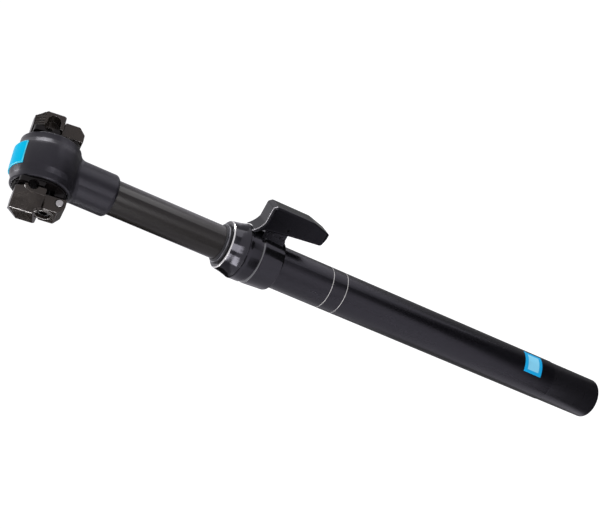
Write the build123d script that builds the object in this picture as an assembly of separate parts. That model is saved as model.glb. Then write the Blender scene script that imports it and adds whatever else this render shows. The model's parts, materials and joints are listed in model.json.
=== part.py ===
from build123d import *
from math import cos, degrees, hypot, pi, radians, sin
import os

# A height-adjustable bicycle seatpost. Millimetres, +Z up along the post.
# Heights are counted from the collar's underside, where the frame's seat tube may end; the finished
# pieces are lifted by clamp_start, so the origin lies on the post's axis at the top of the stretch
# that a seat clamp can grip below the lever. +X points to the front end of the saddle rails.
clamp_start = 30.0

# Fits, shared by every piece that slides, turns or seats in another
running_fit = 0.05
seated_fit = 0.03
open_gap = 0.4
cut_overrun = 1.0

# Outer tube, the lower half that the frame clamps
tube_radius = 15.8
tube_wall = 1.8
tube_bottom = -249.5
tube_top = 8.5
tube_spigot_step = 0.4
tube_bore = tube_radius - tube_wall

# End plug in the tube's foot, which carries the rod
plug_length = 11.5
plug_web = 14.0
o_ring_section = 2.0
o_ring_depth_share = 0.8

# Bottom cap, a sleeve round the end plug
cap_step = 0.3
cap_length = 46.5
cap_wall = 4.5
cap_edge_radius = 2.6
cap_mouth_chamfer = 0.8
cap_radius = tube_radius - cap_step
cap_bottom = tube_bottom - cap_length
cap_bore = cap_radius - cap_wall

# Stanchion, the sliding upper tube
stanchion_radius = 12.5
stanchion_wall = 1.6
travel = 80.0
bottom_stop_gap = 0.4
stanchion_bore = stanchion_radius - stanchion_wall

# Guide keys, which stop the stanchion from turning in the outer tube
key_count = 3
key_width = 3.0
key_length = 12.0
key_rise = 20.0
key_pocket_depth = 0.9
key_track_depth = 0.85
key_side_clearance = 0.05
key_tip_clearance = 0.1
key_first_angle = 107.0
track_overtravel = 5.0

# Lower bushing on the foot of the stanchion
lower_bushing_length = 16.0
bushing_clip_thickness = 1.2
bushing_clip_groove = 0.4
bushing_clip_reach = 0.9
bushing_slit = 1.5

# Seal head in the foot of the stanchion, which the rod runs through
seal_head_length = 14.0
seal_head_flange_thickness = 3.0
seal_head_flange_step = 0.8
seal_thickness = 2.4
seal_depth = 2.2
seal_inset = 3.0

# Air piston, rod and bumpers
rod_radius = 5.0
rod_bore = 1.5
piston_length = 9.0
piston_groove_depth = 2.0
piston_neck_step = 1.4
piston_nut_wall = 2.0
piston_nut_thickness = 4.0
top_bumper_thickness = 4.0
top_bumper_wall = 3.6
bottom_bumper_thickness = 8.0
bottom_bumper_wall = 4.5
bumper_waist_depth = 1.2
rod_nut_wall = 4.2
rod_nut_thickness = 6.0
rod_washer_wall = 4.0
rod_washer_thickness = 1.5
rod_stub = 8.0

# Air valve in the foot of the rod, and its dust cap
valve_radius = 2.6
valve_length = 9.0
valve_stem_radius = 0.9
valve_stem_length = 1.6
valve_cap_wall = 1.3
valve_cap_length = 8.0
valve_cap_floor = 1.6

# Heights and radii of the air spring's pieces
bumper_top = tube_bottom + plug_length + bottom_bumper_thickness
stanchion_bottom = bumper_top + bottom_stop_gap + seal_head_flange_thickness + travel
seal_head_flange_radius = stanchion_radius + seal_head_flange_step
key_bottom = stanchion_bottom + key_rise
seal_head_top = stanchion_bottom + seal_head_length
rod_top = seal_head_top + top_bumper_thickness
piston_radius = stanchion_bore - running_fit
piston_neck_radius = rod_radius - piston_neck_step
rod_nut_top = tube_bottom - plug_web - rod_washer_thickness
rod_foot = rod_nut_top - rod_nut_thickness - rod_stub

# Collar, bonded on top of the outer tube
collar_top = 29.0
collar_top_radius = 20.6
collar_foot_step = 1.9
collar_low_step = 1.4
collar_waist_step = 0.5
collar_groove_step = 1.6
collar_band_step = 0.3
collar_foot_chamfer = 1.2
collar_bead_drop = 11.8
collar_bead_chamfer = 1.0
collar_groove_drop = 8.3
collar_band_drop = 3.0
collar_lip = 1.0
collar_thread_radius = 17.3
collar_thread_depth = 5.0
collar_waist_radius = collar_top_radius - collar_waist_step
collar_bead_height = collar_top - collar_bead_drop
collar_thread_bottom = collar_top - collar_thread_depth

# Upper bushing inside the collar
upper_bushing_wall = 2.1

# Collar nut, which screws into the collar and holds the wiper
nut_gap = 0.3
nut_foot_step = 0.1
nut_shoulder_step = 0.9
nut_shoulder_rise = 2.4
nut_waist_step = 1.8
nut_waist_rise = 6.2
nut_crown_step = 2.4
nut_crown_rise = 10.0
nut_rim_step = 2.7
nut_rim_rise = 11.7
nut_rim_chamfer = 0.8
nut_bore_clearance = 0.6
nut_foot = collar_top + nut_gap
nut_top = nut_foot + nut_rim_rise + nut_rim_chamfer

# Wiper seal and the band round its lip
wiper_seat_depth = 6.0
wiper_wall = 2.7
wiper_lip_wall = 1.4
wiper_lip_height = 3.2
wiper_lip_bevel = 0.6
wiper_ring_groove = 0.3
wiper_ring_low = 1.2
wiper_ring_width = 1.0
wiper_ring_thickness = 0.9
wiper_radius = stanchion_radius + wiper_wall
wiper_lip_radius = stanchion_radius + wiper_lip_wall

# Lug on the collar that carries the lever, set round the post towards the rider's hand
lever_angle = 47.5
lug_reach = 34.0
lug_width = 13.2
lug_bottom = 3.0
lug_roof_gap = 1.1
lug_slope_length = 6.0
lug_slope_drop = 2.2
lug_edge_radius = 1.5
lug_pad_width = 16.4
lug_pad_proud = 1.5
lug_pad_rise = 0.2
lug_pad_drop = 1.4
lug_rib_width = 14.8
lug_rib_proud = 3.1
lug_rib_rise = 3.4
lug_rib_pitch = 7.6
lug_rib_count = 2
lug_rib_thickness = 2.4

# Lever, outline by how far it reaches past the lug and how far it hangs
lever_past_lug = 8.8
lever_width = 18.0
lever_depth = 14.0
lever_side_wall = 2.0
lever_face_wall = 3.0
lever_web_thickness = 2.4
lever_neck_rise = 1.4
lever_neck_sink = 1.3
lever_throat_drop = 6.9
lever_sag_reach_share = 0.4316
lever_sag_drop_share = 0.594
lever_heel_setback = 2.2
lever_heel_fall = 0.1
lever_heel_bevel = 2.6
lever_bevel_start = -10.0
lever_tip_setback = 4.0
lever_tip_drop = -25.6
lever_tip_inner_rise = 3.0
lever_skirt_setback = 16.6
lever_skirt_height = 1.0
lever_skirt_top_setback = 19.9
lever_skirt_top_fall = 0.5
lever_heel_radius = 2.0
lever_bevel_radius = 6.0
lever_tip_radius = 2.4
lever_plan_radius = 5.0
lever_edge_radius = 1.8
lever_neck_clearance = 0.6
lever_reach = lug_reach + lever_past_lug
lever_inner_reach = lever_reach - lever_depth
lever_neck_reach = collar_top_radius - lever_neck_sink
lever_neck_height = collar_top + lever_neck_rise
lever_throat_height = lever_neck_height - lever_throat_drop
lever_heel_height = lever_throat_height - lever_heel_fall
lever_sag_reach = lever_neck_reach + (lever_inner_reach - lever_neck_reach) * lever_sag_reach_share
lever_sag_height = lever_neck_height - lever_throat_drop * lever_sag_drop_share
lug_top = lever_throat_height - lever_web_thickness - lug_roof_gap

# Lever pin
pin_radius = 2.0
pin_setback = 4.0
pin_rise = 2.5
pin_inset = 0.4
pin_socket_radius = 1.1
pin_socket_depth = 1.4
pin_reach = lug_reach - pin_setback
pin_height = lug_bottom + pin_rise

# Lock shoe, its spring and its gland, in a bore across the lug
lock_drop = 6.0
lock_radius = 3.95
lock_face_clearance = 0.1
lock_stem_radius = 1.9
lock_gland_length = 4.4
lock_gland_recess = 0.6
lock_spring_room = 9.0
lock_spring_radius = 3.0
lock_spring_wire = 0.4
lock_spring_turns = 4
lock_spring_relief = 1.7
stirrup_thickness = 1.6
stirrup_hang = 5.4
stirrup_slot_width = 4.6
stirrup_slot_rise = 3.7
stirrup_play = 0.9
lock_nut_radius = 2.8
lock_nut_thickness = 1.8
lock_height = lug_top - lock_drop
lock_gland_start = lug_reach - lock_gland_recess - lock_gland_length
lock_shoe_end = lock_gland_start - lock_spring_room
lock_nut_start = lug_reach + open_gap + stirrup_thickness + stirrup_play

# Head, forged in one piece with its neck
head_height = 179.0
neck_radius = 15.25
neck_length = 49.5
neck_edge_radius = 3.0
neck_socket_roof = 9.0
drum_crown_radius = 23.2
drum_shoulder_step = 0.6
drum_shoulder_half = 8.6
drum_rim_step = 2.3
drum_rim_setback = 0.8
drum_face_step = 3.1
drum_half = 17.0
drum_bore = 15.5
drum_recess_step = 4.4
drum_recess_depth = 3.2
drum_blend_radius = 5.0
drum_shoulder_radius = drum_crown_radius - drum_shoulder_step
drum_recess_radius = drum_crown_radius - drum_recess_step
neck_bottom = head_height - neck_length
neck_socket_top = head_height - drum_bore - neck_socket_roof

# Plug that seals the top of the stanchion
head_plug_length = 9.0
head_plug_inset = 3.5
head_plug_top = neck_socket_top - head_plug_inset

# Top plate on the crown of the drum
plate_half_angle = 32.0
plate_side_margin = 0.2
plate_thickness = 1.8
plate_proud = 0.35

# Saddle clamp; the rail axis lies rail_rise over the drum's centre, leaning by rest_tilt
rest_tilt = 12.0
rail_radius = 3.5
rail_half_spacing = 22.0
rail_rise = 5.6
rail_split = 1.2
rail_inner_face = rail_half_spacing - rail_split / 2
rail_outer_face = rail_half_spacing + rail_split / 2

# Tilt barrel, which turns in the drum
barrel_end_gap = 0.2
barrel_light_bore = 5.5
barrel_light_rise = 6.0

# Cradles, the inner halves of the rail clamp
cheek_proud = 1.2
spigot_length = 4.0
cradle_half_length = 17.5
cradle_top = 15.4
cradle_foot = -1.2
cradle_front_radius = 3.0
cradle_slant_share = 0.45
foot_half_length = 9.5
foot_split = 0.2
foot_bottom = -17.6
foot_top = -9.6
cheek_radius = drum_recess_radius - open_gap
cheek_inner = drum_half - drum_recess_depth
cheek_outer = drum_half + cheek_proud
barrel_half = cheek_inner - barrel_end_gap
foot_reach = rail_half_spacing - foot_split

# Jaws, the outer halves of the rail clamp; how far each point of their outline stands out from
# the rail's axis is a share of jaw_depth
jaw_half_length = 17.5
jaw_depth = 12.5
jaw_top = 16.6
jaw_front_share = 0.448
jaw_rear_share = 0.9
jaw_nose_height = 7.6
jaw_nose_setback = 7.0
jaw_rim_wall = 2.0
jaw_corner_share = 0.496
jaw_corner_height = 7.0
jaw_face_bottom = 0.4
jaw_chin_share = 0.848
jaw_chin_height = -3.6
jaw_lobe_half_length = 9.5
jaw_lobe_share = 0.896
jaw_lobe_top = -4.6
jaw_lobe_corner_height = -14.6
jaw_lobe_bottom = -18.8
jaw_lobe_bottom_share = 0.5
jaw_arch_radius = 4.5
jaw_arch_share = 0.368
jaw_arch_height = 3.6
jaw_arch_depth = 8.5
jaw_wing_height = 9.8
jaw_wing_setback = 5.0
jaw_wing_rib_count = 5
jaw_wing_rib_depth = 0.5
jaw_wing_rib_width = 0.6


def jaw_reach(share):
    """Distance from the post's middle plane for a share of the jaw's depth."""
    return rail_half_spacing + jaw_depth * share


jaw_ridge_reach = rail_half_spacing + jaw_depth

# Bolt through both jaws
bolt_radius = 3.0
bolt_drop = -6.3
bolt_clearance = 0.35
bolt_head_radius = 4.6
bolt_head_length = 5.6
bolt_head_chamfer = 0.4
bolt_socket_radius = 2.9
bolt_socket_depth = 3.2
bolt_boss_radius = 7.0
bolt_boss_share = 0.93
bolt_seat_share = 0.256
bolt_nut_overlap = 6.4
washer_thickness = 1.2
nut_barrel_radius = 4.6
nut_barrel_length = 7.0
nut_slot_width = 1.6
nut_slot_depth = 1.4
bolt_seat_reach = jaw_reach(bolt_seat_share)

# Fulcrum pins, which each jaw rocks on
fulcrum_radius = 2.7
fulcrum_share = 0.336
fulcrum_drop = -14.2
fulcrum_proud = 0.8
fulcrum_chamfer = 0.4
fulcrum_blind = 2.5
fulcrum_reach = jaw_reach(fulcrum_share)
fulcrum_start = fulcrum_blind - jaw_lobe_half_length
fulcrum_end = jaw_lobe_half_length + fulcrum_proud


def rod_between(radius, low, high):
    """Round bar along Z."""
    return Pos(0, 0, (low + high) / 2) * Cylinder(radius, high - low)


def sleeve(outer, inner, low, high):
    """Plain tube along Z."""
    return rod_between(outer, low, high) - rod_between(inner, low - cut_overrun, high + cut_overrun)


def turned(points):
    """Solid of revolution about Z from (radius, height) points."""
    outline = Polyline([(r, 0, z) for r, z in points], close=True)
    return revolve(make_face(outline), Axis.Z)


def bar_along_x(radius, start, end, height=0.0):
    """Round bar along X from start to end."""
    return Pos((start + end) / 2, 0, height) * Rot(0, 90, 0) * Cylinder(radius, end - start)


def bar_along_y(radius, start, end, across=0.0, height=0.0):
    """Round bar along Y from start to end."""
    return Pos(across, (start + end) / 2, height) * Rot(90, 0, 0) * Cylinder(radius, end - start)


def block(low, high):
    """Rectangular block between two corners."""
    size = [b - a for a, b in zip(low, high)]
    middle = [(a + b) / 2 for a, b in zip(low, high)]
    return Pos(*middle) * Box(*size)


def hexagon(radius, low, high):
    """Hexagonal bar along Z, radius to its corners."""
    return Pos(0, 0, low) * extrude(RegularPolygon(radius, 6), high - low)


def towards_lever(shape):
    """Turns a shape made along +X round the post to the lever's side."""
    return Rot(0, 0, lever_angle) * shape


def on_head(shape):
    """Lifts a shape made round the drum's centre to the head."""
    return Pos(0, 0, head_height) * shape


def on_clamp(shape):
    """As on_head, leaning with the saddle rails."""
    return on_head(Rot(0, -rest_tilt, 0) * shape)


def mirrored(shape):
    """The same piece for the other side of the bicycle."""
    return mirror(shape, about=Plane.XZ)


# Outer tube: drawn aluminium, turned down to a spigot in the collar, with three tracks for the guide keys
def make_outer_tube():
    tube = rod_between(tube_radius, tube_bottom, 0)
    tube += rod_between(tube_radius - tube_spigot_step, 0, tube_top)
    tube -= rod_between(tube_bore, tube_bottom - cut_overrun, tube_top + cut_overrun)
    track_low = key_bottom - travel - track_overtravel
    half = key_width / 2 + key_side_clearance
    for i in range(key_count):
        track = block((0, -half, track_low), (tube_bore + key_track_depth, half, tube_top + cut_overrun))
        tube -= Rot(0, 0, key_first_angle + i * 360 / key_count) * track
    return tube


# End plug: closes the tube's foot and carries the rod
def make_end_plug():
    top = tube_bottom + plug_length
    plug = rod_between(cap_bore - seated_fit, tube_bottom - plug_web, tube_bottom)
    plug += rod_between(tube_bore - seated_fit, tube_bottom, top)
    plug -= o_ring_groove(tube_bore - seated_fit, tube_bottom + plug_length / 2)
    low = tube_bottom - plug_web - cut_overrun
    return plug - rod_between(rod_radius + seated_fit, low, top + cut_overrun)


def o_ring_groove(radius, middle):
    """Ring to cut from a round piece of that radius, for an O-ring."""
    half = o_ring_section / 2 + seated_fit
    floor = radius - o_ring_section * o_ring_depth_share
    return sleeve(radius + cut_overrun, floor, middle - half, middle + half)


def o_ring(radius, middle):
    """O-ring that fills such a groove, drawn as it is squeezed."""
    inner = radius - o_ring_section * o_ring_depth_share + seated_fit
    return sleeve(radius, inner, middle - o_ring_section / 2, middle + o_ring_section / 2)


def make_plug_o_ring():
    return o_ring(tube_bore - seated_fit, tube_bottom + plug_length / 2)


# Bottom cap: a turned sleeve screwed round the end plug, which guards the air valve
def make_bottom_cap():
    cap = rod_between(cap_radius, cap_bottom, tube_bottom)
    cap = fillet(cap.edges().group_by(Axis.Z)[0], cap_edge_radius)
    cap -= rod_between(cap_bore, cap_bottom - cut_overrun, tube_bottom + cut_overrun)
    mouth = cap.edges().group_by(Axis.Z)[0].sort_by(SortBy.RADIUS)[0]
    return chamfer(mouth, cap_mouth_chamfer)


# Rod: stands on the end plug and carries the air piston inside the stanchion
def make_piston_rod():
    rod = rod_between(rod_radius, rod_foot, rod_top)
    rod += rod_between(piston_neck_radius, rod_top, rod_top + piston_length + piston_nut_thickness)
    top = rod_top + piston_length + piston_nut_thickness
    rod -= rod_between(rod_bore, rod_foot - cut_overrun, top + cut_overrun)
    rod -= rod_between(valve_radius + seated_fit, rod_foot - cut_overrun, rod_foot + valve_length)
    return rod


def make_rod_washer():
    outer = rod_radius + rod_washer_wall
    return sleeve(outer, rod_radius + seated_fit, rod_nut_top, rod_nut_top + rod_washer_thickness)


def make_rod_nut():
    low = rod_nut_top - rod_nut_thickness
    nut = hexagon(rod_radius + rod_nut_wall, low, rod_nut_top)
    return nut - rod_between(rod_radius + seated_fit, low - cut_overrun, rod_nut_top + cut_overrun)


def make_valve_core():
    core = rod_between(valve_radius, rod_foot, rod_foot + valve_length)
    return core + rod_between(valve_stem_radius, rod_foot - valve_stem_length, rod_foot)


def make_valve_cap():
    low = rod_foot - valve_stem_length - open_gap - valve_cap_floor
    cap = rod_between(rod_radius + valve_cap_wall, low, low + valve_cap_length)
    high = low + valve_cap_length + cut_overrun
    return cap - rod_between(rod_radius + seated_fit, low + valve_cap_floor, high)


def make_bottom_bumper():
    low = tube_bottom + plug_length
    high = bumper_top
    bore = rod_radius + seated_fit
    outer = rod_radius + bottom_bumper_wall
    third = bottom_bumper_thickness / 3
    return turned([
        (bore, low), (outer, low), (outer, low + third), (outer - bumper_waist_depth, (low + high) / 2),
        (outer, high - third), (outer, high), (bore, high)])


def make_top_bumper():
    outer = rod_radius + top_bumper_wall
    return sleeve(outer, rod_radius + seated_fit, seal_head_top + seated_fit, rod_top)


def make_air_piston():
    high = rod_top + piston_length
    middle = (rod_top + high) / 2
    groove = piston_radius - piston_groove_depth
    piston = sleeve(piston_radius, piston_neck_radius + seated_fit, rod_top, high)
    return piston - sleeve(stanchion_radius, groove, middle - seal_thickness / 2, middle + seal_thickness / 2)


def make_piston_seal():
    middle = rod_top + piston_length / 2
    half = seal_thickness / 2 - seated_fit
    inner = piston_radius - piston_groove_depth + seated_fit
    return sleeve(piston_radius, inner, middle - half, middle + half)


def make_piston_nut():
    low = rod_top + piston_length
    high = low + piston_nut_thickness
    nut = hexagon(piston_neck_radius + piston_nut_wall, low, high)
    return nut - rod_between(piston_neck_radius + seated_fit, low - cut_overrun, high + cut_overrun)


# Stanchion: ground aluminium tube, pressed into the neck and sealed at both ends
def make_stanchion():
    tube = sleeve(stanchion_radius, stanchion_bore, stanchion_bottom, neck_socket_top)
    half = key_width / 2 + key_side_clearance
    floor = stanchion_radius - key_pocket_depth
    for i in range(key_count):
        pocket = block((floor, -half, key_bottom - seated_fit),
                       (stanchion_radius + cut_overrun, half, key_bottom + key_length + seated_fit))
        tube -= Rot(0, 0, key_first_angle + i * 360 / key_count) * pocket
    groove_low = stanchion_bottom + lower_bushing_length + seated_fit
    groove_high = groove_low + bushing_clip_thickness + 2 * seated_fit
    return tube - sleeve(tube_radius, stanchion_radius - bushing_clip_groove, groove_low, groove_high)


def make_guide_keys():
    inner = stanchion_radius - key_pocket_depth + seated_fit
    outer = tube_bore + key_track_depth - key_tip_clearance
    key = block((inner, -key_width / 2, key_bottom), (outer, key_width / 2, key_bottom + key_length))
    return Compound([Rot(0, 0, key_first_angle + i * 360 / key_count) * key for i in range(key_count)])


def make_lower_bushing():
    low = stanchion_bottom
    ring = sleeve(tube_bore - running_fit, stanchion_radius + seated_fit, low, low + lower_bushing_length)
    slit = block((0, -bushing_slit / 2, low - cut_overrun),
                 (tube_bore, bushing_slit / 2, low + lower_bushing_length + cut_overrun))
    return ring - slit


def make_bushing_clip():
    low = stanchion_bottom + lower_bushing_length + 2 * seated_fit
    inner = stanchion_radius - bushing_clip_groove + seated_fit
    ring = sleeve(stanchion_radius + bushing_clip_reach, inner, low, low + bushing_clip_thickness)
    slit = block((0, -bushing_slit, low - cut_overrun),
                 (tube_bore, bushing_slit, low + bushing_clip_thickness + cut_overrun))
    return ring - slit


# Seal head: screws into the stanchion's foot and seals round the rod
def make_seal_head():
    head = rod_between(stanchion_bore - seated_fit, stanchion_bottom, seal_head_top)
    flange_low = stanchion_bottom - seal_head_flange_thickness
    head += rod_between(seal_head_flange_radius, flange_low, stanchion_bottom)
    head -= rod_between(rod_radius + running_fit, flange_low - cut_overrun,
                        seal_head_top + cut_overrun)
    seal_high = seal_head_top - seal_inset
    return head - rod_between(rod_radius + seal_depth, seal_high - seal_thickness, seal_high)


def make_rod_seal():
    high = seal_head_top - seal_inset - seated_fit
    low = high - seal_thickness + 2 * seated_fit
    return sleeve(rod_radius + seal_depth - seated_fit, rod_radius + running_fit, low, high)


# Collar: turned and milled, with the lug for the lever on one side
def make_collar():
    foot = collar_top_radius - collar_foot_step
    groove = collar_top_radius - collar_groove_step
    band = collar_top_radius - collar_band_step
    ring = turned([
        (0, 0), (foot, 0), (collar_top_radius - collar_low_step, collar_foot_chamfer),
        (collar_waist_radius, collar_bead_height - collar_bead_chamfer),
        (collar_waist_radius, collar_bead_height),
        (groove, collar_bead_height + collar_bead_chamfer), (groove, collar_top - collar_groove_drop),
        (band, collar_top - collar_groove_drop), (band, collar_top - collar_band_drop),
        (collar_top_radius, collar_top - collar_lip), (collar_top_radius, collar_top), (0, collar_top)])
    lug = make_face(Polyline([
        (0, 0, lug_bottom), (lug_reach, 0, lug_bottom), (lug_reach, 0, lug_top - lug_slope_drop),
        (lug_reach - lug_slope_length, 0, lug_top), (0, 0, lug_top)], close=True))
    lug = extrude(lug, lug_width / 2, both=True)
    lug = fillet(lug.edges().filter_by(Axis.Y).group_by(Axis.X)[-1], lug_edge_radius)
    pad = block((0, -lug_pad_width / 2, lug_bottom + lug_pad_rise),
                (collar_waist_radius + lug_pad_proud, lug_pad_width / 2, lug_top - lug_pad_drop))
    rib_reach = collar_waist_radius + lug_rib_proud
    for i in range(lug_rib_count):
        height = lug_bottom + lug_rib_rise + i * lug_rib_pitch
        pad += block((0, -lug_rib_width / 2, height - lug_rib_thickness / 2),
                     (rib_reach, lug_rib_width / 2, height + lug_rib_thickness / 2))
    collar = ring + towards_lever(lug + pad)
    collar -= rod_between(tube_radius - tube_spigot_step + seated_fit, -cut_overrun, tube_top)
    bushing_seat = stanchion_radius + upper_bushing_wall + seated_fit
    collar -= rod_between(bushing_seat, -cut_overrun, collar_top + cut_overrun)
    collar -= rod_between(collar_thread_radius, collar_thread_bottom, collar_top + cut_overrun)
    collar -= towards_lever(bar_along_x(lock_radius + running_fit, 0, lug_reach + cut_overrun, lock_height))
    pin_hole = bar_along_y(pin_radius + seated_fit, -lug_width, lug_width, pin_reach, pin_height)
    return collar - towards_lever(pin_hole)


def make_upper_bushing():
    outer = stanchion_radius + upper_bushing_wall
    low = tube_top + seated_fit
    high = collar_thread_bottom - seated_fit
    bushing = sleeve(outer, stanchion_radius + running_fit, low, high)
    return bushing - towards_lever(bar_along_x(lock_radius + open_gap, 0, outer + cut_overrun, lock_height))


def make_collar_nut():
    thread_low = collar_thread_bottom + open_gap
    bore = stanchion_radius + nut_bore_clearance
    steps = [(nut_shoulder_step, nut_shoulder_rise), (nut_waist_step, nut_waist_rise),
             (nut_crown_step, nut_crown_rise), (nut_rim_step, nut_rim_rise)]
    nut = turned([
        (bore, thread_low), (collar_thread_radius - seated_fit, thread_low),
        (collar_thread_radius - seated_fit, nut_foot), (collar_top_radius - nut_foot_step, nut_foot),
        *[(collar_top_radius - step, nut_foot + rise) for step, rise in steps],
        (collar_top_radius - nut_rim_step - nut_rim_chamfer, nut_top), (bore, nut_top)])
    return nut - rod_between(wiper_radius + seated_fit, nut_top - wiper_seat_depth, nut_top + cut_overrun)


# Wiper: moulded rubber with a lip that scrapes the stanchion clean
def make_wiper_seal():
    low = nut_top - wiper_seat_depth
    inner = stanchion_radius + running_fit
    tip = nut_top + wiper_lip_height
    wiper = turned([
        (inner, low), (wiper_radius, low), (wiper_radius, nut_top), (wiper_lip_radius, nut_top),
        (wiper_lip_radius, tip - wiper_lip_bevel), (inner + open_gap, tip), (inner, tip)])
    groove_low = nut_top + wiper_ring_low - seated_fit
    return wiper - sleeve(wiper_radius, wiper_lip_radius - wiper_ring_groove,
                          groove_low, groove_low + wiper_ring_width + 2 * seated_fit)


# Wiper ring: a split stainless band that keeps the lip round and tight
def make_wiper_ring():
    low = nut_top + wiper_ring_low
    inner = wiper_lip_radius - wiper_ring_groove + seated_fit
    return sleeve(inner + wiper_ring_thickness, inner, low, low + wiper_ring_width)


def lever_outline():
    """Side view of the lever, (reach, height) in its own plane, its throat as an arc."""
    throat = ThreePointArc((lever_neck_reach, 0, lever_neck_height), (lever_sag_reach, 0, lever_sag_height),
                           (lever_inner_reach, 0, lever_throat_height))
    heel_reach = lever_reach - lever_heel_setback
    heel_low = lever_heel_height - lever_heel_bevel
    tip_reach = lever_reach - lever_tip_setback
    tip_inner_height = lever_tip_drop + lever_tip_inner_rise
    rest = Polyline((lever_inner_reach, 0, lever_throat_height), (heel_reach, 0, lever_heel_height),
                    (lever_reach, 0, heel_low), (lever_reach, 0, lever_bevel_start),
                    (tip_reach, 0, lever_tip_drop), (lever_inner_reach, 0, tip_inner_height),
                    (lever_reach - lever_skirt_setback, 0, lever_skirt_height),
                    (lever_reach - lever_skirt_top_setback, 0, lever_throat_height - lever_skirt_top_fall),
                    (lever_neck_reach, 0, lever_neck_height - lever_web_thickness),
                    (lever_neck_reach, 0, lever_neck_height))
    outline = make_face(throat + rest)
    corners = {
        (heel_reach, lever_heel_height): lever_heel_radius,
        (lever_reach, heel_low): lever_heel_radius,
        (lever_reach, lever_bevel_start): lever_bevel_radius,
        (tip_reach, lever_tip_drop): lever_tip_radius,
        (lever_inner_reach, tip_inner_height): lever_tip_radius,
    }
    for (reach, height), radius in corners.items():
        corner = outline.vertices().sort_by_distance((reach, 0, height))[0]
        outline = fillet(corner, radius)
    return outline


def lever_hollow():
    """Inside of the lever's channel, open towards the post."""
    inside = lever_reach - lever_face_wall
    roof = lever_throat_height - lever_web_thickness
    outline = Polyline([
        (inside, 0, roof), (inside, 0, lever_bevel_start),
        (inside - lever_tip_setback, 0, lever_tip_drop + lever_face_wall),
        (0, 0, lever_tip_drop + lever_tip_inner_rise + lever_face_wall), (0, 0, roof)], close=True)
    slope = Polyline([
        (0, 0, roof), (lever_inner_reach, 0, roof),
        (lever_sag_reach, 0, lever_sag_height - lever_web_thickness),
        (lever_neck_reach, 0, lever_neck_height - lever_web_thickness),
        (0, 0, lever_neck_height - lever_web_thickness)], close=True)
    half = lever_width / 2 - lever_side_wall
    return extrude(make_face(outline), half, both=True) + extrude(make_face(slope), half, both=True)


def lever_plan():
    """Block that rounds the lever's tip as seen from the thumb's side."""
    reach = lever_reach + cut_overrun
    middle = (lever_tip_drop - cut_overrun + lever_neck_height + cut_overrun) / 2
    length = lever_neck_height - lever_tip_drop + 2 * cut_overrun
    outline = Pos(0, 0, middle) * Rot(0, 90, 0) * Rectangle(length, lever_width)
    tip = outline.vertices().group_by(Axis.Z)[0]
    tip_shift = Pos(0, 0, cut_overrun) * fillet(tip, lever_plan_radius)
    return extrude(tip_shift, reach, dir=(1, 0, 0))


# Lever: a moulded channel that straddles the lug; squeezing it to the tube frees the post
def make_lever():
    body = extrude(lever_outline(), lever_width / 2, both=True)
    sides = [e for e in body.edges() if abs(e.center().Y) > lever_width / 2 - lever_edge_radius]
    reached = [e for e in sides if e.center().X > lever_sag_reach]
    inner_low = lever_tip_drop + lever_tip_inner_rise + lever_tip_radius
    outer = [e for e in reached if e.center().X > lever_inner_reach
             or not inner_low < e.center().Z < lever_throat_height]
    body = fillet(outer, lever_edge_radius) & lever_plan()
    body -= lever_hollow()
    outer_half = lever_width / 2 - lever_side_wall
    stirrup_start = lug_reach + open_gap
    stirrup_low = lock_height - stirrup_hang
    roof = lever_throat_height - lever_web_thickness
    stirrup = block((stirrup_start, -outer_half, stirrup_low),
                    (stirrup_start + stirrup_thickness, outer_half, roof))
    stirrup -= block((stirrup_start - cut_overrun, -stirrup_slot_width / 2, stirrup_low - cut_overrun),
                     (stirrup_start + stirrup_thickness + cut_overrun, stirrup_slot_width / 2,
                      lock_height + stirrup_slot_rise))
    body += stirrup
    body -= bar_along_y(pin_radius + running_fit, -lever_width, lever_width, pin_reach, pin_height)
    body = towards_lever(body)
    room = collar_top_radius + lever_neck_clearance
    return body - rod_between(room, lever_tip_drop, lever_neck_height + cut_overrun)


def make_lever_pin():
    half = lever_width / 2 - pin_inset
    pin = bar_along_y(pin_radius, -half, half, pin_reach, pin_height)
    floor = pin_socket_depth - half
    pin -= bar_along_y(pin_socket_radius, -half - cut_overrun, floor, pin_reach, pin_height)
    return towards_lever(pin)


# Lock shoe: bronze, hollowed to the stanchion's curve and pressed on it by a spring
def make_lock_shoe():
    stem_end = lock_nut_start + lock_nut_thickness
    shoe = bar_along_x(lock_radius, 0, lock_shoe_end, lock_height)
    shoe += bar_along_x(lock_stem_radius, lock_shoe_end, stem_end, lock_height)
    shoe -= rod_between(stanchion_radius + lock_face_clearance, 0, lug_top)
    return towards_lever(shoe)


def make_lock_gland():
    gland = bar_along_x(lock_radius, lock_gland_start, lug_reach - lock_gland_recess, lock_height)
    start = lock_gland_start - cut_overrun
    gland -= bar_along_x(lock_stem_radius + running_fit, start, lug_reach, lock_height)
    return towards_lever(gland)


def make_lock_stem_nut():
    end = lock_nut_start + lock_nut_thickness
    nut = bar_along_x(lock_nut_radius, lock_nut_start, end, lock_height)
    start = lock_nut_start - cut_overrun
    nut -= bar_along_x(lock_stem_radius + seated_fit, start, end + cut_overrun, lock_height)
    return towards_lever(nut)


def coil_path(radius, pitch, turns, start):
    """Helix about the X axis as pairs of tangent arcs, one pair for each half turn."""
    climb = pitch / (2 * pi)
    arcs = []
    for i in range(2 * turns):
        (first, out), (last, into) = [
            (Vector(start + climb * angle, radius * cos(angle), radius * sin(angle)),
             Vector(climb, -radius * sin(angle), radius * cos(angle)).normalized())
            for angle in (i * pi, (i + 1) * pi)]
        chord = last - first
        both = out + into
        a = both.dot(both) / 2 - 2
        b = -chord.dot(both)
        reach = (-b - (b * b - 2 * a * chord.dot(chord)) ** 0.5) / (2 * a)
        near = first + out * reach
        far = last - into * reach
        middle = (near + far) / 2
        arcs.append(TangentArc(first, middle, tangent=out))
        arcs.append(TangentArc(middle, last, tangent=far - near))
    return Wire(arcs)


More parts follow.
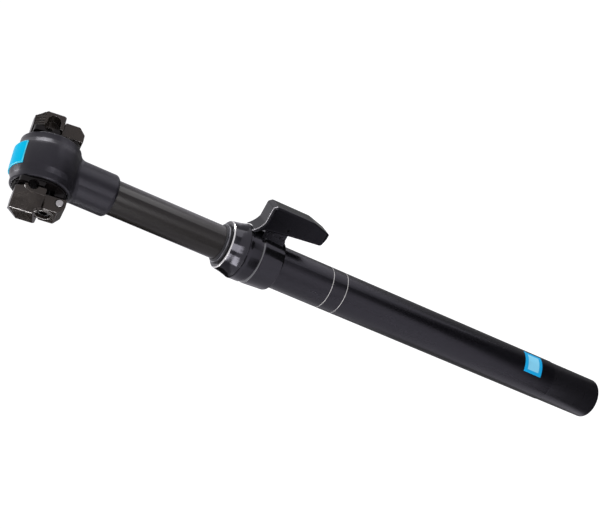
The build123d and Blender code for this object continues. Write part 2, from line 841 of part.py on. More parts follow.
# Lock spring: a wire coil round the shoe's stem, drawn at its squeezed length
def make_lock_spring():
    start = lock_shoe_end + lock_spring_relief + lock_spring_wire
    end = lock_gland_start - lock_spring_wire
    pitch = (end - start) / lock_spring_turns
    print("lock spring, gap between turns:", round(pitch - 2 * lock_spring_wire, 3))
    path = coil_path(lock_spring_radius, pitch, lock_spring_turns, start)
    section = Plane(origin=path @ 0, z_dir=path % 0) * Circle(lock_spring_wire)
    return towards_lever(Pos(0, 0, lock_height) * sweep(section, path=path))


# Head: a lateral drum on a short neck, turned and milled from one forging
def make_head():
    drum_points = [
        (0, -drum_half), (drum_crown_radius - drum_face_step, -drum_half),
        (drum_crown_radius - drum_rim_step, -drum_half + drum_rim_setback),
        (drum_shoulder_radius, -drum_shoulder_half)]
    crown = ThreePointArc((drum_shoulder_radius, 0, -drum_shoulder_half), (drum_crown_radius, 0, 0),
                          (drum_shoulder_radius, 0, drum_shoulder_half))
    lower = Polyline([(r, 0, z) for r, z in drum_points])
    upper = Polyline([(r, 0, -z) for r, z in reversed(drum_points)])
    close = Line((0, 0, drum_half), (0, 0, -drum_half))
    drum = revolve(make_face(lower + crown + upper + close), Axis.Z)
    drum = on_head(Rot(90, 0, 0) * drum)
    neck = rod_between(neck_radius, neck_bottom, head_height)
    neck = fillet(neck.edges().group_by(Axis.Z)[0], neck_edge_radius)
    head = drum + neck
    blend_low = neck_bottom + neck_edge_radius + open_gap
    joint = [e for e in head.edges() if blend_low < e.center().Z < head_height - drum_bore
             and hypot(e.center().X, e.center().Y) < neck_radius + open_gap]
    head = fillet(joint, drum_blend_radius)
    head -= on_head(bar_along_y(drum_bore, -drum_half - cut_overrun, drum_half + cut_overrun))
    for side in (-1, 1):
        ends = sorted((side * (drum_half - drum_recess_depth), side * (drum_half + cut_overrun)))
        head -= on_head(bar_along_y(drum_recess_radius, *ends))
    head -= rod_between(stanchion_radius + seated_fit, neck_bottom - cut_overrun, neck_socket_top)
    return head - on_head(plate_blank(drum_crown_radius + plate_proud - plate_thickness - seated_fit,
                                      2 * drum_crown_radius, seated_fit))


def plate_blank(inner, outer, growth):
    """Curved block round the drum's axis, over the crown."""
    half = drum_shoulder_half - plate_side_margin + growth
    blank = bar_along_y(outer, -half, half) - bar_along_y(inner, -half - cut_overrun, half + cut_overrun)
    spread = plate_half_angle + degrees(growth / drum_crown_radius)
    reach = 2 * outer
    wedge = make_face(Polyline([
        (0, 0, 0), (reach * sin(radians(-spread)), 0, reach * cos(radians(spread))),
        (0, 0, 2 * reach), (reach * sin(radians(spread)), 0, reach * cos(radians(spread)))], close=True))
    return blank & extrude(wedge, half + cut_overrun, both=True)


# Top plate: an anodised trim plate let into the drum's crown
def make_top_plate():
    inner = drum_crown_radius + plate_proud - plate_thickness
    return on_head(plate_blank(inner, drum_crown_radius + plate_proud, 0.0))


def make_head_plug():
    low = head_plug_top - head_plug_length
    radius = stanchion_bore - seated_fit
    groove = o_ring_groove(radius, head_plug_top - head_plug_length / 2)
    return rod_between(radius, low, head_plug_top) - groove


def make_head_plug_o_ring():
    return o_ring(stanchion_bore - seated_fit, head_plug_top - head_plug_length / 2)


# Tilt barrel: turns in the drum and carries both cradles and the bolt
def make_tilt_barrel():
    barrel = bar_along_y(drum_bore - running_fit, -barrel_half, barrel_half)
    barrel -= bar_along_y(bolt_radius + bolt_clearance, -drum_half, drum_half, 0, bolt_drop)
    barrel -= bar_along_y(barrel_light_bore, -drum_half, drum_half, 0, barrel_light_rise)
    return on_clamp(barrel)


def clamp_outline(points):
    """Face in the plane across the rails from (reach, height) points, on the -Y side."""
    return make_face(Polyline([(0, -reach, height) for reach, height in points], close=True))


# Cradle: forged inner half of the clamp; its cheek sits in the end of the drum
def make_cradle(pin_side):
    """Cradle of the right side; pin_side is 1 where the fulcrum pin shows in front, -1 at the rear."""
    cheek = bar_along_y(cheek_radius, -cheek_outer, -cheek_inner)
    spigot = bar_along_y(barrel_light_bore - seated_fit, -cheek_inner, spigot_length - cheek_inner,
                         0, barrel_light_rise)
    slant = cheek_outer + (rail_inner_face - cheek_outer) * cradle_slant_share
    root = cheek_outer - open_gap
    saddle = extrude(clamp_outline([
        (root, cradle_top), (rail_inner_face, cradle_top), (rail_inner_face, cradle_foot),
        (slant, cradle_foot - 2 * open_gap), (root, cradle_foot - open_gap)]), cradle_half_length, both=True)
    saddle = fillet(saddle.edges().filter_by(Axis.Y), cradle_front_radius)
    foot = extrude(clamp_outline([
        (cheek_inner, foot_top), (foot_reach, foot_top),
        (foot_reach, foot_bottom), (cheek_inner, foot_bottom)]),
        foot_half_length, both=True)
    low, high = sorted((pin_side * fulcrum_start, pin_side * fulcrum_end))
    foot -= Pos(0, -fulcrum_reach, 0) * bar_along_x(fulcrum_radius + running_fit, low, high, fulcrum_drop)
    cradle = cheek + spigot + saddle + (foot & bar_along_y(cheek_radius, -foot_reach, -cheek_inner))
    cradle -= rail_groove(cradle_half_length)
    cradle -= bar_along_y(bolt_radius + bolt_clearance, -jaw_ridge_reach, 0, 0, bolt_drop)
    return on_clamp(cradle)


def rail_groove(half_length):
    """Round bar in the saddle rail's place."""
    end = half_length + cut_overrun
    return Pos(0, -rail_half_spacing, 0) * bar_along_x(rail_radius, -end, end, rail_rise)


def jaw_upper():
    """Long upper part of the jaw: its outer face falls from a ridge to both ends, far more to the front."""
    upper = extrude(clamp_outline([
        (rail_outer_face, jaw_top), (jaw_ridge_reach, jaw_top), (jaw_ridge_reach, jaw_face_bottom),
        (jaw_reach(jaw_chin_share), jaw_chin_height), (rail_outer_face, jaw_chin_height)]),
        jaw_half_length, both=True)
    upper -= jaw_face_cut(jaw_half_length, jaw_reach(jaw_front_share))
    upper -= jaw_face_cut(-jaw_half_length, jaw_reach(jaw_rear_share))
    upper -= jaw_end_cut(1, jaw_nose_height, jaw_nose_setback)
    upper -= jaw_corner_cut()
    rim = Pos(0, -rail_half_spacing, 0) * bar_along_x(
        rail_radius + jaw_rim_wall, jaw_half_length - jaw_nose_setback, jaw_half_length, rail_rise)
    upper += rim & block((0, -jaw_ridge_reach, -jaw_top), (jaw_half_length, -rail_outer_face, jaw_top))
    return upper - jaw_arch() - jaw_wing_cut()


def jaw_face_cut(end, reach):
    """Wedge that lets the outer face fall away from the ridge in its middle to that reach at one end."""
    wedge = make_face(Polyline([
        (0, -jaw_ridge_reach, 0), (end, -reach, 0), (end, -jaw_ridge_reach - cut_overrun, 0)], close=True))
    return extrude(wedge, 2 * jaw_top, both=True)


def jaw_end_cut(side, height, setback):
    """Prism that cuts the jaw's upper corner back at one end; side is 1 at the front and -1 at the rear."""
    end = side * jaw_half_length
    beyond = side * (jaw_half_length + cut_overrun)
    back = side * (jaw_half_length - setback)
    above = jaw_top + cut_overrun
    corner = Polyline([
        (beyond, 0, height), (end, 0, height), (back, 0, jaw_top), (back, 0, above), (beyond, 0, above)], close=True)
    return extrude(make_face(corner), jaw_ridge_reach + cut_overrun, dir=(0, -1, 0))


def jaw_corner_cut():
    """Block that takes a slanted facet off the outer upper corner, from the ridge's top to the rear end."""
    peak = Vector(0, -jaw_ridge_reach, jaw_top)
    low = Vector(-jaw_half_length, -jaw_ridge_reach, jaw_corner_height)
    inner = Vector(-jaw_half_length, -jaw_reach(jaw_corner_share), jaw_top)
    outward = (inner - peak).cross(low - peak)
    facet = Plane(origin=peak, x_dir=low - peak, z_dir=outward)
    return extrude(facet * Rectangle(4 * jaw_top, 4 * jaw_top), 2 * jaw_depth)


def jaw_arch():
    """Arched pocket that runs into the jaw from its rear end, open towards the rail."""
    reach = jaw_reach(jaw_arch_share)
    low = -jaw_half_length - cut_overrun
    high = -jaw_half_length + jaw_arch_depth
    arch = Pos(0, -reach, 0) * bar_along_x(jaw_arch_radius, low, high, jaw_arch_height)
    return arch + block((low, -reach, jaw_arch_height - jaw_arch_radius),
                        (high, -rail_inner_face, jaw_arch_height + jaw_arch_radius))


def jaw_wing_cut():
    """Set-back of the wing over the arch, with a row of fine grip grooves in it."""
    end = -jaw_half_length
    back = end + jaw_wing_setback
    cut = jaw_end_cut(-1, jaw_wing_height, jaw_wing_setback)
    pitch = (jaw_reach(jaw_lobe_share) - rail_half_spacing) / jaw_wing_rib_count
    groove = extrude(make_face(Polyline([
        (end, 0, jaw_wing_height), (end + jaw_wing_rib_depth, 0, jaw_wing_height - jaw_wing_rib_depth),
        (back + jaw_wing_rib_depth, 0, jaw_top), (back, 0, jaw_top + cut_overrun)], close=True)),
        jaw_wing_rib_width, dir=(0, -1, 0))
    for i in range(jaw_wing_rib_count):
        cut += Pos(0, -rail_half_spacing - (i + 0.5) * pitch, 0) * groove
    return cut


# Jaw: forged outer half of the clamp; the left one is the same forging turned round
def make_jaw():
    jaw = jaw_upper()
    jaw += extrude(clamp_outline([
        (rail_outer_face, jaw_chin_height + open_gap), (jaw_reach(jaw_lobe_share), jaw_lobe_top),
        (jaw_reach(jaw_lobe_share), jaw_lobe_corner_height),
        (jaw_reach(jaw_lobe_bottom_share), jaw_lobe_bottom),
        (rail_outer_face, jaw_lobe_bottom)]), jaw_lobe_half_length, both=True)
    jaw += bar_along_y(bolt_boss_radius, -jaw_reach(bolt_boss_share), -bolt_seat_reach, 0, bolt_drop)
    jaw -= rail_groove(jaw_half_length)
    jaw -= Pos(0, -fulcrum_reach, 0) * bar_along_x(
        fulcrum_radius + seated_fit, fulcrum_start, jaw_half_length, fulcrum_drop)
    jaw -= bar_along_y(bolt_radius + seated_fit, -jaw_ridge_reach, 0, 0, bolt_drop)
    beyond = -jaw_ridge_reach - cut_overrun
    jaw -= bar_along_y(bolt_head_radius + open_gap, beyond, -bolt_seat_reach, 0, bolt_drop)
    return jaw


def make_fulcrum_pin():
    pin = bar_along_x(fulcrum_radius, fulcrum_start, fulcrum_end)
    pin = chamfer(pin.edges().filter_by(GeomType.CIRCLE), fulcrum_chamfer)
    return Pos(0, -fulcrum_reach, fulcrum_drop) * pin


# Bolt, washers and nut that draw the two jaws together
def make_clamp_bolt():
    seat = -bolt_seat_reach - washer_thickness
    shank_end = bolt_seat_reach + washer_thickness + bolt_nut_overlap
    bolt = bar_along_y(bolt_radius, seat, shank_end, 0, bolt_drop)
    head = bar_along_y(bolt_head_radius, seat - bolt_head_length, seat, 0, bolt_drop)
    bolt += chamfer(head.edges().group_by(Axis.Y)[0], bolt_head_chamfer)
    socket = Pos(0, seat - bolt_head_length, bolt_drop) * Rot(90, 0, 0) * extrude(
        RegularPolygon(bolt_socket_radius, 6), -bolt_socket_depth)
    return on_clamp(bolt - socket)


def make_washer():
    ring = bar_along_y(bolt_head_radius, -bolt_seat_reach - washer_thickness, -bolt_seat_reach, 0, bolt_drop)
    ring -= bar_along_y(bolt_radius + seated_fit, -jaw_ridge_reach, 0, 0, bolt_drop)
    return on_clamp(ring)


def make_clamp_nut():
    start = bolt_seat_reach + washer_thickness
    end = start + nut_barrel_length
    across = nut_barrel_radius + cut_overrun
    nut = bar_along_y(nut_barrel_radius, start, end, 0, bolt_drop)
    nut -= bar_along_y(bolt_radius + running_fit, start - cut_overrun, end + cut_overrun, 0, bolt_drop)
    slot = block((-across, end - nut_slot_depth, bolt_drop - nut_slot_width / 2),
                 (across, end + cut_overrun, bolt_drop + nut_slot_width / 2))
    return on_clamp(nut - slot)


pieces = {
    "outer_tube": make_outer_tube(),
    "end_plug": make_end_plug(),
    "plug_o_ring": make_plug_o_ring(),
    "bottom_cap": make_bottom_cap(),
    "piston_rod": make_piston_rod(),
    "rod_washer": make_rod_washer(),
    "rod_nut": make_rod_nut(),
    "valve_core": make_valve_core(),
    "valve_cap": make_valve_cap(),
    "bottom_bumper": make_bottom_bumper(),
    "top_bumper": make_top_bumper(),
    "air_piston": make_air_piston(),
    "piston_seal": make_piston_seal(),
    "piston_nut": make_piston_nut(),
    "collar": make_collar(),
    "upper_bushing": make_upper_bushing(),
    "collar_nut": make_collar_nut(),
    "wiper_seal": make_wiper_seal(),
    "wiper_ring": make_wiper_ring(),
    "lever_pin": make_lever_pin(),
    "lock_gland": make_lock_gland(),
    "lock_spring": make_lock_spring(),
    "lock_shoe": make_lock_shoe(),
    "lock_stem_nut": make_lock_stem_nut(),
    "lever": make_lever(),
    "stanchion": make_stanchion(),
    "guide_keys": make_guide_keys(),
    "lower_bushing": make_lower_bushing(),
    "bushing_clip": make_bushing_clip(),
    "seal_head": make_seal_head(),
    "rod_seal": make_rod_seal(),
    "head_plug": make_head_plug(),
    "head_plug_o_ring": make_head_plug_o_ring(),
    "head": make_head(),
    "top_plate": make_top_plate(),
    "tilt_barrel": make_tilt_barrel(),
    "cradle_right": make_cradle(1),
    "cradle_left": mirrored(make_cradle(-1)),
    "jaw_right": on_clamp(make_jaw()),
    "jaw_left": on_clamp(Rot(0, 0, 180) * make_jaw()),
    "fulcrum_pin_right": on_clamp(make_fulcrum_pin()),
    "fulcrum_pin_left": on_clamp(Rot(0, 0, 180) * make_fulcrum_pin()),
    "clamp_bolt": make_clamp_bolt(),
    "bolt_washer": make_washer(),
    "nut_washer": mirrored(make_washer()),
    "clamp_nut": make_clamp_nut(),
}

os.makedirs("parts", exist_ok=True)
for name, piece in pieces.items():
    export_step(Pos(0, 0, clamp_start) * piece, f"parts/{name}.step")
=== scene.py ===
import json
import math

import bpy
from mathutils import Matrix, Vector

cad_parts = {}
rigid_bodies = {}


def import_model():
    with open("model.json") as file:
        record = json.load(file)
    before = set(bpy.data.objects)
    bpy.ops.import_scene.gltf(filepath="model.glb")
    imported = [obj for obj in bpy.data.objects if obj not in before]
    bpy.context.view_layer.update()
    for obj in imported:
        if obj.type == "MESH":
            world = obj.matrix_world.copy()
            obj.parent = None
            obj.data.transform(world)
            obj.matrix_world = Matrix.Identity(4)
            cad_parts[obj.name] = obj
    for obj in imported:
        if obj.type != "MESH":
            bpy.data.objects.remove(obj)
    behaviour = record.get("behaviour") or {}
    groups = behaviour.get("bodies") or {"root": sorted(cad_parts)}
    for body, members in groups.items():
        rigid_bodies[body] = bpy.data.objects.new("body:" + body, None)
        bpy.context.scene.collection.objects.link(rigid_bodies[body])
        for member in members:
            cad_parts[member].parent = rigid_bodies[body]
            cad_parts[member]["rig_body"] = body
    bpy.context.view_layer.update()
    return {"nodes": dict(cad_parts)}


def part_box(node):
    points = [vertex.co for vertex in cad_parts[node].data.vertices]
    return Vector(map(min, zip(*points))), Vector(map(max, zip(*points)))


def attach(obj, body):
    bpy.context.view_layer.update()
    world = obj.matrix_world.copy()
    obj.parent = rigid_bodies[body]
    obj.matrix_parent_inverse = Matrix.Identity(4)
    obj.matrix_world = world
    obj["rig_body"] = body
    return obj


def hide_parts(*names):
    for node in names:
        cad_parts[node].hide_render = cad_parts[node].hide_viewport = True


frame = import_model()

nodes = frame["nodes"]

# The photographer's camera: a long lens, turned well round, that looks down on the standing post.
# Its place is counted from the underside of the collar, on the post's axis.
collar_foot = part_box("collar")[0][2]
camera_place = Vector((0.87909, -0.46951, 0.42323 + collar_foot))
camera_right = Vector((0.51650, 0.16738, -0.83977))
camera_down = Vector((-0.29912, -0.88366, -0.36011))
camera_ahead = Vector((-0.80234, 0.43719, -0.40634))
bpy.ops.object.select_all(action="DESELECT")
bpy.ops.object.camera_add()
camera = bpy.context.object
turned = Matrix((camera_right, -camera_down, -camera_ahead)).transposed().to_4x4()
camera.matrix_world = Matrix.Translation(camera_place) @ turned
camera.data.lens = 90.545
camera.data.sensor_width = 36.0
camera.data.clip_end = 20.0
bpy.context.scene.camera = camera
bpy.context.scene.view_settings.view_transform = "Standard"

# The studio: a white sweep that is bright to the lens and in reflections, and dimmer as a lamp, and a
# pale floor a little below the post, which is white to the lens but for the post's soft shadow.
sky = bpy.data.worlds.new("studio_sky")
bpy.context.scene.world = sky
sky.use_nodes = True
backdrop = sky.node_tree.nodes["Background"]
rays = sky.node_tree.nodes.new("ShaderNodeLightPath")
seen = sky.node_tree.nodes.new("ShaderNodeMath")
seen.operation = "MAXIMUM"
seen_at_all = sky.node_tree.nodes.new("ShaderNodeMath")
seen_at_all.operation = "MAXIMUM"
sky_as_lamp = 0.38
sky_as_seen = 1.0
strength = sky.node_tree.nodes.new("ShaderNodeMapRange")
strength.inputs["To Min"].default_value = sky_as_lamp
strength.inputs["To Max"].default_value = sky_as_seen
sky.node_tree.links.new(rays.outputs["Is Camera Ray"], seen.inputs[0])
sky.node_tree.links.new(rays.outputs["Is Glossy Ray"], seen.inputs[1])
sky.node_tree.links.new(seen.outputs[0], seen_at_all.inputs[0])
sky.node_tree.links.new(rays.outputs["Is Transmission Ray"], seen_at_all.inputs[1])
sky.node_tree.links.new(seen_at_all.outputs[0], strength.inputs["Value"])
sky.node_tree.links.new(strength.outputs[0], backdrop.inputs["Strength"])
hue = sky.node_tree.nodes.new("ShaderNodeMix")
hue.data_type = "RGBA"
hue.inputs["A"].default_value = (0.965, 0.95, 1.0, 1.0)
hue.inputs["B"].default_value = (1.0, 1.0, 1.0, 1.0)
sky.node_tree.links.new(rays.outputs["Is Camera Ray"], hue.inputs["Factor"])
sky.node_tree.links.new(hue.outputs["Result"], backdrop.inputs["Color"])

floor_drop = 0.36
floor_side = 14.0
floor_glow = 1.25
floor_glow_share = 0.75
floor_height = collar_foot - floor_drop
bpy.ops.mesh.primitive_plane_add(size=floor_side, location=(0.0, 0.0, floor_height))
floor = bpy.context.object
floor.name = "studio_floor"
paper = bpy.data.materials.new("studio_paper")
paper.use_nodes = True
paper_nodes = paper.node_tree.nodes
paper_nodes["Principled BSDF"].inputs["Base Color"].default_value = (0.84, 0.825, 0.88, 1.0)
paper_nodes["Principled BSDF"].inputs["Roughness"].default_value = 0.9
paper_nodes["Principled BSDF"].inputs["Specular IOR Level"].default_value = 0.0
glow = paper_nodes.new("ShaderNodeEmission")
glow.inputs["Strength"].default_value = floor_glow
share = paper_nodes.new("ShaderNodeMixShader")
paper_rays = paper_nodes.new("ShaderNodeLightPath")
partly = paper_nodes.new("ShaderNodeMath")
partly.operation = "MULTIPLY"
partly.inputs[1].default_value = floor_glow_share
paper.node_tree.links.new(paper_rays.outputs["Is Camera Ray"], partly.inputs[0])
paper.node_tree.links.new(partly.outputs[0], share.inputs[0])
paper.node_tree.links.new(paper_nodes["Principled BSDF"].outputs[0], share.inputs[1])
paper.node_tree.links.new(glow.outputs[0], share.inputs[2])
paper.node_tree.links.new(share.outputs[0], paper_nodes["Material Output"].inputs["Surface"])
floor.data.materials.append(paper)


def round_the_post(bearing, distance, height):
    """A place by its bearing round the post's axis in degrees, and its height over the collar's foot."""
    turn = math.radians(bearing)
    return Vector((distance * math.cos(turn), distance * math.sin(turn), collar_foot + height))


def floor_card(name, bearing, near, far, width, tone):
    """A card on the floor that only shows in reflections, as a studio's black cards do."""
    middle = round_the_post(bearing, (near + far) / 2, 0.0)
    bpy.ops.mesh.primitive_plane_add(size=1.0, location=(middle.x, middle.y, floor_height + 0.002),
                                     rotation=(0.0, 0.0, math.radians(bearing)))
    card = bpy.context.object
    card.name = name
    card.scale = (far - near, width, 1.0)
    felt = bpy.data.materials.new(name)
    felt.use_nodes = True
    felt.node_tree.nodes["Principled BSDF"].inputs["Base Color"].default_value = (tone, tone, tone, 1.0)
    felt.node_tree.nodes["Principled BSDF"].inputs["Specular IOR Level"].default_value = 0.0
    card.data.materials.append(felt)
    card.visible_camera = False
    card.visible_diffuse = False
    card.visible_shadow = False


def softbox(name, bearing, distance, height, aim, width, tall, watts):
    """A flat studio lamp round the post, turned towards a height on its axis."""
    place = round_the_post(bearing, distance, height)
    bpy.ops.object.light_add(type="AREA", location=place)
    lamp = bpy.context.object
    lamp.name = name
    lamp.data.shape = "RECTANGLE"
    lamp.data.size = width
    lamp.data.size_y = tall
    lamp.data.energy = watts
    lamp.visible_camera = False
    facing = Vector((0.0, 0.0, collar_foot + aim)) - place
    lamp.rotation_euler = facing.to_track_quat("-Z", "Y").to_euler()


floor_card("lever_side_card", bearing=20.0, near=-0.08, far=0.88, width=0.36, tone=0.01)
floor_card("back_card", bearing=142.0, near=0.05, far=1.05, width=1.00, tone=0.20)
floor_card("near_card", bearing=-52.0, near=0.85, far=1.10, width=0.80, tone=0.01)
floor_card("head_card", bearing=-160.0, near=1.15, far=3.00, width=1.40, tone=0.01)
softbox("key_softbox", bearing=87.0, distance=1.5, height=0.60, aim=0.18, width=0.60, tall=0.68,
        watts=18.0)
softbox("window_left", bearing=-72.0, distance=1.0, height=0.045, aim=0.03, width=0.68, tall=0.15,
        watts=2.9)
softbox("window_right", bearing=-20.0, distance=1.0, height=0.012, aim=0.03, width=0.50, tall=0.22,
        watts=2.1)
softbox("low_reflector", bearing=50.0, distance=1.15, height=-0.17, aim=0.05, width=0.8, tall=0.30,
        watts=1.4)
softbox("rim_softbox", bearing=-133.0, distance=0.5, height=0.12, aim=0.19, width=0.16, tall=0.07,
        watts=0.6)
softbox("top_softbox", bearing=161.0, distance=0.7, height=1.25, aim=0.02, width=0.3, tall=0.3,
        watts=5.5)
softbox("fill_softbox", bearing=-65.0, distance=1.6, height=1.25, aim=0.05, width=0.6, tall=0.6,
        watts=2.3)


# Outer tube: drawn aluminium, hard-anodised a satin black, which the bicycle's frame clamps.
# Two thin pale rings are printed round it below the collar, for the height it is set at.
def finish(name, colour, roughness, metallic=0.0, drawn=(1.0, 1.0, 1.0), cloud=0.25, grain=1500.0,
           depth=0.00001, shine=0.5, wear=0.0, worn_to=(0.16, 0.16, 0.16), gleam=(0.90, 0.87, 1.0)):
    """A surface whose colour and roughness wander a little, with a fine grain; drawn stretches its pattern,
    wear rubs its sharp edges paler, and gleam tints what it mirrors where it isn't bare metal."""
    material = bpy.data.materials.new(name)
    material.use_nodes = True
    tree = material.node_tree
    shader = tree.nodes["Principled BSDF"]
    shader.inputs["Metallic"].default_value = metallic
    shader.inputs["Specular IOR Level"].default_value = shine
    if metallic == 0.0:
        shader.inputs["Specular Tint"].default_value = (*gleam, 1.0)
    place = tree.nodes.new("ShaderNodeTexCoord")
    stretch = tree.nodes.new("ShaderNodeMapping")
    stretch.inputs["Scale"].default_value = drawn
    tree.links.new(place.outputs["Object"], stretch.inputs["Vector"])
    clouds = tree.nodes.new("ShaderNodeTexNoise")
    clouds.inputs["Scale"].default_value = 90.0
    clouds.inputs["Detail"].default_value = 5.0
    tree.links.new(stretch.outputs[0], clouds.inputs["Vector"])
    shade = tree.nodes.new("ShaderNodeMix")
    shade.data_type = "RGBA"
    shade.inputs["A"].default_value = (*[c * (1.0 - cloud) for c in colour], 1.0)
    shade.inputs["B"].default_value = (*[min(1.0, c * (1.0 + cloud)) for c in colour], 1.0)
    tree.links.new(clouds.outputs["Fac"], shade.inputs["Factor"])
    handled = tree.nodes.new("ShaderNodeMapRange")
    handled.inputs["From Min"].default_value = 0.3
    handled.inputs["From Max"].default_value = 0.7
    handled.inputs["To Min"].default_value = roughness * (1.0 - 0.5 * cloud)
    handled.inputs["To Max"].default_value = min(1.0, roughness * (1.0 + 0.5 * cloud))
    tree.links.new(clouds.outputs["Fac"], handled.inputs["Value"])
    tree.links.new(handled.outputs[0], shader.inputs["Roughness"])
    fine = tree.nodes.new("ShaderNodeTexNoise")
    fine.inputs["Scale"].default_value = grain
    fine.inputs["Detail"].default_value = 3.0
    tree.links.new(stretch.outputs[0], fine.inputs["Vector"])
    bump = tree.nodes.new("ShaderNodeBump")
    bump.name = "grain"
    bump.inputs["Strength"].default_value = 0.6
    bump.inputs["Distance"].default_value = depth
    tree.links.new(fine.outputs["Fac"], bump.inputs["Height"])
    tree.links.new(bump.outputs[0], shader.inputs["Normal"])
    tree.links.new(shade.outputs["Result"], shader.inputs["Base Color"])
    if wear > 0.0:
        rounded = tree.nodes.new("ShaderNodeBevel")
        rounded.samples = 4
        rounded.inputs["Radius"].default_value = 0.0005
        flat = tree.nodes.new("ShaderNodeNewGeometry")
        agree = tree.nodes.new("ShaderNodeVectorMath")
        agree.operation = "DOT_PRODUCT"
        tree.links.new(rounded.outputs[0], agree.inputs[0])
        tree.links.new(flat.outputs["Normal"], agree.inputs[1])
        edge = tree.nodes.new("ShaderNodeMapRange")
        edge.inputs["From Min"].default_value = 0.99
        edge.inputs["From Max"].default_value = 0.90
        tree.links.new(agree.outputs["Value"], edge.inputs["Value"])
        patchy = tree.nodes.new("ShaderNodeMapRange")
        patchy.inputs["From Min"].default_value = 0.35
        patchy.inputs["From Max"].default_value = 0.65
        patchy.inputs["To Min"].default_value = 0.2 * wear
        patchy.inputs["To Max"].default_value = wear
        tree.links.new(fine.outputs["Fac"], patchy.inputs["Value"])
        lay_over(material, product(tree, edge.outputs[0], patchy.outputs[0]), worn_to)
    return material


def lay_over(material, mask, colour):
    """Another colour over the material's own, as strongly as the mask says."""
    tree = material.node_tree
    base = tree.nodes["Principled BSDF"].inputs["Base Color"]
    over = tree.nodes.new("ShaderNodeMix")
    over.data_type = "RGBA"
    over.inputs["B"].default_value = (*colour, 1.0)
    tree.links.new(mask, over.inputs["Factor"])
    tree.links.new(base.links[0].from_socket, over.inputs["A"])
    tree.links.new(over.outputs["Result"], base)


def product(tree, first, second):
    """Two masks multiplied."""
    times = tree.nodes.new("ShaderNodeMath")
    times.operation = "MULTIPLY"
    tree.links.new(first, times.inputs[0])
    tree.links.new(second, times.inputs[1])
    return times.outputs[0]


def mask_where(tree, source, operation, value, reach=0.0):
    """A mask that is one where a coordinate passes a test against a value."""
    test = tree.nodes.new("ShaderNodeMath")
    test.operation = operation
    test.inputs[1].default_value = value
    test.inputs[2].default_value = reach
    tree.links.new(source, test.inputs[0])
    return test.outputs[0]


def paint(node, material):
    """The material on every face of a CAD node."""
    mesh = nodes[node].data
    mesh.materials.clear()
    mesh.materials.append(material)


def print_rings(material, heights, thickness, colour):
    """Thin rings of ink round the post's axis."""
    tree = material.node_tree
    place = tree.nodes.new("ShaderNodeTexCoord")
    parts = tree.nodes.new("ShaderNodeSeparateXYZ")
    tree.links.new(place.outputs["Object"], parts.inputs[0])
    for height in heights:
        lay_over(material, mask_where(tree, parts.outputs["Z"], "COMPARE", height, thickness / 2), colour)


tube_black = (0.0028, 0.0026, 0.0036)
ring_heights = (collar_foot - 0.0433, collar_foot - 0.0555)
ring_thickness = 0.0005
ring_ink = (0.5, 0.49, 0.47)
tube_finish = finish("tube_anodising", tube_black, 0.28, drawn=(1.0, 1.0, 0.12), depth=0.000004)
print_rings(tube_finish, ring_heights, ring_thickness, ring_ink)
paint("outer_tube", tube_finish)

# Label: a small cyan film stuck on the tube just above the cap, with nothing on it but a paler panel.
# It is 16 mm high and reaches a little under a fifth of the way round, on the camera's side.
def take_up(piece):
    """Makes that piece the only one selected, and the active one."""
    bpy.ops.object.select_all(action="DESELECT")
    piece.select_set(True)
    bpy.context.view_layer.objects.active = piece


tube_radius = 0.0158
label_low = collar_foot - 0.2370
label_high = collar_foot - 0.2206
label_start = math.radians(-24.6)
label_turn = math.radians(66.0)
label_cyan = (0.0, 0.36, 0.70)
film = 0.00008
weld = 0.000002
panel_height = (label_low + label_high) / 2
panel_turn = label_start + label_turn / 2
panel_half_height = 0.0052
panel_half_turn = 0.42
panel_cyan = (0.22, 0.62, 0.82)
label_mesh = bpy.data.meshes.new("tube_label")
label_edge = (tube_radius + film) * Vector((math.cos(label_start), math.sin(label_start), 0.0))
label_mesh.from_pydata([label_edge + Vector((0.0, 0.0, z)) for z in (label_low, label_high)], [(0, 1)], [])
label = bpy.data.objects.new("tube_label", label_mesh)
bpy.context.scene.collection.objects.link(label)
take_up(label)
bpy.ops.object.mode_set(mode="EDIT")
bpy.ops.mesh.select_all(action="SELECT")
bpy.ops.mesh.subdivide(number_cuts=7)
bpy.ops.mesh.select_all(action="SELECT")
bpy.ops.mesh.spin(steps=24, angle=-label_turn, center=(0, 0, 0), axis=(0, 0, 1))
bpy.ops.mesh.select_all(action="SELECT")
bpy.ops.mesh.remove_doubles(threshold=weld)
bpy.ops.mesh.normals_make_consistent(inside=False)
bpy.ops.object.mode_set(mode="OBJECT")
thick = label.modifiers.new("film", "SOLIDIFY")
thick.thickness = film
thick.offset = -1.0
bpy.ops.object.modifier_apply(modifier="film")
bpy.ops.object.shade_smooth_by_angle(angle=math.radians(30))
label_film = finish("label_film", label_cyan, 0.34, cloud=0.05, shine=0.25)
film_tree = label_film.node_tree
film_place = film_tree.nodes.new("ShaderNodeTexCoord")
film_parts = film_tree.nodes.new("ShaderNodeSeparateXYZ")
film_tree.links.new(film_place.outputs["Object"], film_parts.inputs[0])
film_turn = film_tree.nodes.new("ShaderNodeMath")
film_turn.operation = "ARCTAN2"
film_tree.links.new(film_parts.outputs["Y"], film_turn.inputs[0])
film_tree.links.new(film_parts.outputs["X"], film_turn.inputs[1])
panel = product(
    film_tree,
    mask_where(film_tree, film_parts.outputs["Z"], "COMPARE", panel_height, panel_half_height),
    mask_where(film_tree, film_turn.outputs[0], "COMPARE", panel_turn, panel_half_turn))
lay_over(label_film, panel, panel_cyan)
label.data.materials.append(label_film)
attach(label, "tube_body")

